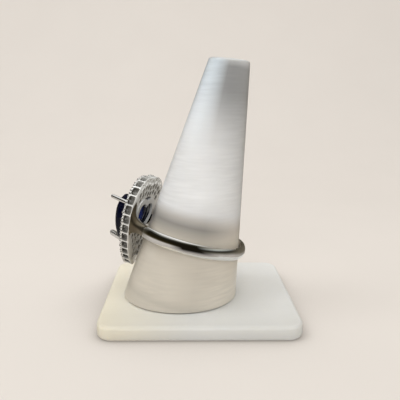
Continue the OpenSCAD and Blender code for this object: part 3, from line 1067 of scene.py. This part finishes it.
def build_lobe_prongs():
    """The two round prongs at the stone's lobes."""
    _, _, head, stones = sizes()
    front, half = head.plate_back + head.plate_thickness - 0.4, stones.prong / 2
    parts = []
    for side, end in ((1, stones.near_end), (-1, stones.far_end)):
        foot = Vector((side * LOBE_PRONG.x, LOBE_PRONG.y, front))
        reach = Vector((0, (end - front) * math.tan(LOBE_PRONG_LEAN), end - front))
        parts.append(rod(foot, foot + reach, half * 1.05, half * 0.97))
    prongs = new_object("lobe_prongs", *merged(parts))
    dress(prongs, polished_metal, ring_matrix(), smooth=40)


def build_tip_prong():
    """The gutter-shaped prong at the stone's point, with a groove for the point and a rounded end."""
    _, _, head, stones = sizes()
    front = head.plate_back + head.plate_thickness - 0.4
    lean, reach = math.tan(TIP_PRONG_LEAN), stones.tip_end - front
    wave, round_from, steps = 0.62, 0.93, 48
    sections = []
    for u in (k / steps for k in range(steps + 1)):
        rise = reach * u
        near_stone = max(0.0, 1 - abs(front + rise - stones.girdle) / 1.1)
        radius = (0.74 - 0.12 * u) * (1 + 0.025 * math.sin(2 * math.pi * rise / wave))
        if u > round_from:
            radius *= math.sqrt(max(1 - ((u - round_from) / 0.085) ** 2, 0.12))
        centre = Vector((0, TIP_PRONG.y + rise * lean, front + rise))
        angles = (math.radians(20) - math.radians(220) * i / 27 for i in range(28))
        section = [centre + Vector((radius * math.cos(a), radius * math.sin(a), 0)) for a in angles]
        groove = 0.15 + 0.55 * near_stone
        for x, y in ((-0.5, 0.5 - 0.25 * groove), (0, 0.6 - groove), (0.5, 0.5 - 0.25 * groove)):
            section.append(centre + Vector((x * radius, y * radius, 0)))
        sections.append(section)
    gutter = new_object("tip_prong", *loft(sections))
    dress(gutter, satin_metal, ring_matrix(), smooth=40)


def build_beads():
    """The beaded edge round the plate's front, and the raised beads between the small stones."""
    _, _, head, _ = sizes()
    heart, front = plate_heart(head), head.plate_back + head.plate_thickness
    spots = []
    for i, p in enumerate(heart.outline(-0.1, head.seats * 3)):
        spots.append((p, 0.22 + 0.04 * math.sin(2.1 * i), -0.08 + 0.05 * math.sin(3.7 * i)))
    spots += [(p, 0.15, 0.0) for p, _ in heart.row(-1.45, head.seats, 0.5)]
    spots += [(p, 0.12, 0.0) for p in heart.outline(-2.55, 26) if abs(p.x) > 2.2 or p.y > 0]
    parts = []
    for p, radius, lift in spots:
        angles = (math.radians(degrees) for degrees in (-80, -45, -15, 15, 45, 80))
        ball = [(radius * math.cos(a), front + lift + radius * math.sin(a)) for a in angles]
        parts.append(revolve(ball, 10, p.x, p.y))
    beads = new_object("beads", *merged(parts))
    dress(beads, satin_metal, ring_matrix(), smooth=60)


# The stones

def build_centre_stone():
    """The heart-cut blue stone, with its table, crown, girdle and pavilion facets."""
    _, _, _, stones = sizes()
    heart, middle, count = stone_heart(stones), STONE_MIDDLE, 28
    crown, pavilion = stones.crown, stones.pavilion
    # Share of the girdle's outline, height above the girdle and shift of each level
    levels = [
        (0.68, crown, 0.0), (0.86, crown * 0.62, 0.5), (1.0, 0.1, 0.0), (1.0, -0.1, 0.0),
        (0.82, -pavilion * 0.5, 0.5), (0.72, -pavilion * 0.86, 0.0),
    ]
    verts, faces = [], []
    for share, height, shift in levels:
        points = [middle + (p - middle) * share for p, _ in heart.row(0, count, shift)]
        verts += raised(points, stones.girdle + height)
    for level in range(len(levels) - 1):
        a, b = level * count, (level + 1) * count
        turned = levels[level + 1][2] - levels[level][2]
        for i in range(count):
            j = (i + 1) % count
            if turned == 0:
                faces.append((a + i, a + j, b + j, b + i))
            elif turned > 0:
                faces += [(a + i, a + j, b + i), (a + j, b + j, b + i)]
            else:
                faces += [(a + i, b + j, b + i), (a + i, a + j, b + j)]
    faces.append(tuple(range(count)))
    verts.append(Vector((middle.x, middle.y, stones.girdle - pavilion)))
    last = (len(levels) - 1) * count
    faces += [(last + i, last + (i + 1) % count, len(verts) - 1) for i in range(count)]
    stone = new_object("heart_stone", verts, faces)
    dress(stone, deep_blue_facets, ring_matrix(), smooth=0, replaces=["centre_stone"])


def brilliant(place, d):
    """One small round stone: table, stars, kites, upper and lower girdle facets and mains."""
    # Points, radius, height and shift of each ring, in shares of the diameter
    rings = [(8, 0.28, 0.17, 0), (8, 0.4, 0.095, 0.5), (16, 0.5, 0.015, 0), (16, 0.5, -0.015, 0)]
    rings.append((8, 0.23, -0.16, 0.5))
    verts = [place + p for count, radius, z, shift in rings for p in circle(radius * d, z * d, count, shift)]
    verts.append(place + Vector((0, 0, -0.27 * d)))
    table, star, upper, lower, low, culet = 0, 8, 16, 32, 48, 56
    faces = [tuple(range(8))]
    for k in range(8):
        n, before = (k + 1) % 8, (k - 1) % 8
        faces.append((table + k, star + k, table + n))
        faces.append((table + k, star + before, upper + 2 * k, star + k))
        faces += [(star + k, upper + 2 * k, upper + 2 * k + 1), (star + k, upper + 2 * k + 1, upper + 2 * n)]
        faces += [(low + k, lower + 2 * k + 1, lower + 2 * k), (low + k, lower + 2 * n, lower + 2 * k + 1)]
        faces.append((culet, low + before, lower + 2 * k, low + k))
    faces += [(upper + i, lower + i, lower + (i + 1) % 16, upper + (i + 1) % 16) for i in range(16)]
    return verts, faces


def build_halo_stones():
    """The field of small clear stones in the plate's seats."""
    _, _, head, stones = sizes()
    level = head.plate_back + head.plate_thickness + 0.02
    parts = []
    for row, diameter in zip(stone_rows(), (stones.outer_stone, stones.inner_stone)):
        parts += [brilliant(place, diameter) for place in raised(row, level)]
    field = new_object("halo_field", *merged(parts))
    dress(field, clear_facets, ring_matrix(), smooth=0, replaces=["halo_stones"])


# The studio

# Each light's name, place, target, power, size and colour
LIGHTS = (
    ("window_left", (-0.19, -0.04, 0.27), (0, 0, 0.02), 0.27, (0.14, 0.14), (0.97, 0.99, 1.0)),
    ("fill_front", (-0.03, -0.33, 0.17), (0, 0.02, 0.02), 0.74, (0.30, 0.20), (1.0, 1.0, 0.99)),
    ("top_soft", (0.0, 0.02, 0.40), (0, 0.02, 0), 0.36, (0.50, 0.50), WHITE),
    ("back_wash", (0.0, 0.0, 0.26), (0, 0.24, 0.10), 0.40, (0.5, 0.12), (1.0, 0.99, 0.98)),
)
VIEWPOINT, LENS, SENSOR = Vector((-1.939, -85.175, 35.966)) * MM, 46.4, 36
PITCH, YAW, ROLL = (math.radians(degrees) for degrees in (11.739, 1.392, 0.441))


def area_light(name, place, target, power, size, tint):
    """A soft light that the polished metal doesn't mirror."""
    light = bpy.data.lights.new(name, "AREA")
    light.shape, light.size, light.size_y = "RECTANGLE", size[0], size[1]
    light.energy, light.color = power, tint
    lamp = bpy.data.objects.new(name, light)
    lamp.location = place
    lamp.visible_glossy = False
    lamp.rotation_euler = (Vector(target) - Vector(place)).to_track_quat("-Z", "Y").to_euler()
    bpy.context.scene.collection.objects.link(lamp)


def build_backdrop():
    """A pale floor that rises behind the object in one curve."""
    front, bend, radius, top, side, drop = -0.45, 0.10, 0.14, 0.55, 0.6, 0.00002
    profile = [(front, 0.0), (0.0, 0.0), (bend, 0.0)]
    for a in (math.pi / 2 * k / 16 for k in range(1, 17)):
        profile.append((bend + radius * math.sin(a), radius * (1 - math.cos(a))))
    profile.append((bend + radius, top))
    verts = [Vector((x, y, z)) for y, z in profile for x in (-side, side)]
    faces = [(2 * k, 2 * k + 1, 2 * k + 3, 2 * k + 2) for k in range(len(profile) - 1)]
    floor = new_object("backdrop", verts, faces, solid=False)
    floor.data.shade_smooth()
    floor.data.materials.append(finish(backdrop_paper))
    floor.location.z = -drop
    floor.visible_glossy = floor.visible_transmission = False


def build_world():
    """Soft room light: pale below, bright above, dark between, and browner at the back."""
    world = bpy.data.worlds.new("studio_room")
    bpy.context.scene.world = world
    world.use_nodes = True
    room = Nodes(world.node_tree)
    way = room.add("ShaderNodeTexCoord").outputs["Generated"]
    axes = room.add("ShaderNodeSeparateXYZ", {"Vector": way}).outputs
    height = room.share(axes["Z"], -1, 1)
    floor, dark = (0.52, 0.48, 0.44), (0.010, 0.008, 0.005)
    front = room.ramp(height, [
        (0.0, floor), (0.12, (0.46, 0.42, 0.39)), (0.24, (0.14, 0.13, 0.12)), (0.32, dark), (0.76, dark),
        (0.86, (0.05, 0.046, 0.034)), (0.94, (0.7, 0.69, 0.65)), (1.0, WHITE),
    ])
    left = room.ramp(height, [
        (0.0, floor), (0.38, (0.60, 0.56, 0.52)), (0.46, (0.09, 0.075, 0.05)), (0.51, (0.03, 0.023, 0.008)),
        (0.60, (0.014, 0.011, 0.004)), (0.78, (0.014, 0.012, 0.008)), (0.86, (0.14, 0.14, 0.12)),
        (0.92, (0.9, 0.9, 0.88)), (1.0, (1.1, 1.1, 1.1)),
    ])
    right = room.ramp(height, [
        (0.0, floor), (0.28, floor), (0.43, (0.16, 0.15, 0.12)), (0.52, (0.03, 0.027, 0.018)),
        (0.60, (0.07, 0.068, 0.06)), (0.69, (0.50, 0.52, 0.49)), (0.82, (0.38, 0.35, 0.28)), (1.0, WHITE),
    ])
    back = room.ramp(height, [
        (0.0, (0.56, 0.52, 0.48)), (0.26, (0.45, 0.42, 0.38)), (0.38, (0.15, 0.13, 0.095)),
        (0.60, (0.10, 0.088, 0.064)), (0.72, (0.14, 0.13, 0.11)), (0.84, (0.5, 0.49, 0.46)),
        (1.0, (1.1, 1.1, 1.1)),
    ])
    sides = room.mix(room.share(axes["X"], -0.3, -0.7), front, left)
    sides = room.mix(room.share(axes["X"], 0.35, 0.85), sides, right)
    whole = room.mix(room.share(axes["Y"], 0.1, 0.55), sides, back)
    room.tree.links.new(whole, room.tree.nodes["Background"].inputs["Color"])


def build_camera():
    """The photo's viewpoint: close, a little above and almost straight in front."""
    data = bpy.data.cameras.new("photo_view")
    data.lens, data.sensor_width = LENS, SENSOR
    data.clip_start, data.clip_end = 0.005, 5
    camera = bpy.data.objects.new("photo_view", data)
    level = math.cos(PITCH)
    forward = Vector((math.sin(YAW) * level, math.cos(YAW) * level, -math.sin(PITCH)))
    right = Vector((math.cos(YAW), -math.sin(YAW), 0))
    up = right.cross(forward)
    right, up = right * math.cos(ROLL) + up * math.sin(ROLL), up * math.cos(ROLL) - right * math.sin(ROLL)
    turn = Matrix((right, up, -forward)).transposed()
    camera.matrix_world = Matrix.Translation(VIEWPOINT) @ turn.to_4x4()
    bpy.context.scene.collection.objects.link(camera)
    bpy.context.scene.camera = camera


def build_studio():
    build_backdrop()
    build_world()
    for light in LIGHTS:
        area_light(*light)
    build_camera()
    bpy.context.scene.view_settings.view_transform = "Standard"


# Operators, in the order in which they run

class HEARTRING_OT_base(bpy.types.Operator):
    """Build the frosted base slab"""

    bl_idname = "heart_ring.base"
    bl_label = "Base"

    def execute(self, context):
        build_base()
        return {"FINISHED"}


class HEARTRING_OT_cone(bpy.types.Operator):
    """Build the frosted ring cone"""

    bl_idname = "heart_ring.cone"
    bl_label = "Cone"

    def execute(self, context):
        build_cone()
        return {"FINISHED"}


class HEARTRING_OT_band(bpy.types.Operator):
    """Build the band and its shoulders"""

    bl_idname = "heart_ring.band"
    bl_label = "Band"

    def execute(self, context):
        build_band()
        build_shoulders()
        return {"FINISHED"}


class HEARTRING_OT_plate(bpy.types.Operator):
    """Build the pierced halo plate and the heart frame"""

    bl_idname = "heart_ring.plate"
    bl_label = "Plate"

    def execute(self, context):
        build_plate()
        build_heart_frame()
        return {"FINISHED"}


class HEARTRING_OT_prongs(bpy.types.Operator):
    """Build the prongs and the beads"""

    bl_idname = "heart_ring.prongs"
    bl_label = "Prongs"

    def execute(self, context):
        build_lobe_prongs()
        build_tip_prong()
        build_beads()
        return {"FINISHED"}


class HEARTRING_OT_stones(bpy.types.Operator):
    """Build the centre stone and the small stones"""

    bl_idname = "heart_ring.stones"
    bl_label = "Stones"

    def execute(self, context):
        build_centre_stone()
        build_halo_stones()
        return {"FINISHED"}


class HEARTRING_OT_studio(bpy.types.Operator):
    """Build the floor, the lights and the camera"""

    bl_idname = "heart_ring.studio"
    bl_label = "Studio"

    def execute(self, context):
        build_studio()
        return {"FINISHED"}


STEPS = (
    HEARTRING_OT_base, HEARTRING_OT_cone, HEARTRING_OT_band, HEARTRING_OT_plate,
    HEARTRING_OT_prongs, HEARTRING_OT_stones, HEARTRING_OT_studio,
)
GROUPS = {
    "ring_stand": StandSizes, "ring_band": RingSizes, "ring_head": HeadSizes,
    "ring_stones": StoneSizes, "ring_colours": FinishColours,
}


class HEARTRING_PT_panel(bpy.types.Panel):
    """Lists the steps and the sizes"""

    bl_idname = "HEARTRING_PT_panel"
    bl_label = "Heart Ring"
    bl_space_type = "VIEW_3D"
    bl_region_type = "UI"
    bl_category = "Heart Ring"

    def draw(self, context):
        for step in STEPS:
            self.layout.operator(step.bl_idname)
        for name in GROUPS:
            group, box = getattr(context.scene, name), self.layout.box()
            for prop in group.bl_rna.properties:
                if prop.identifier not in ("rna_type", "name"):
                    box.prop(group, prop.identifier)


def register():
    for kind in (*GROUPS.values(), *STEPS, HEARTRING_PT_panel):
        bpy.utils.register_class(kind)
    for name, group in GROUPS.items():
        setattr(bpy.types.Scene, name, PointerProperty(type=group))


def unregister():
    for name in GROUPS:
        delattr(bpy.types.Scene, name)
    for kind in reversed((*GROUPS.values(), *STEPS, HEARTRING_PT_panel)):
        bpy.utils.unregister_class(kind)


def main():
    register()
    for step in STEPS:
        family, name = step.bl_idname.split(".")
        getattr(getattr(bpy.ops, family), name)()


if __name__ == "__main__":
    main()
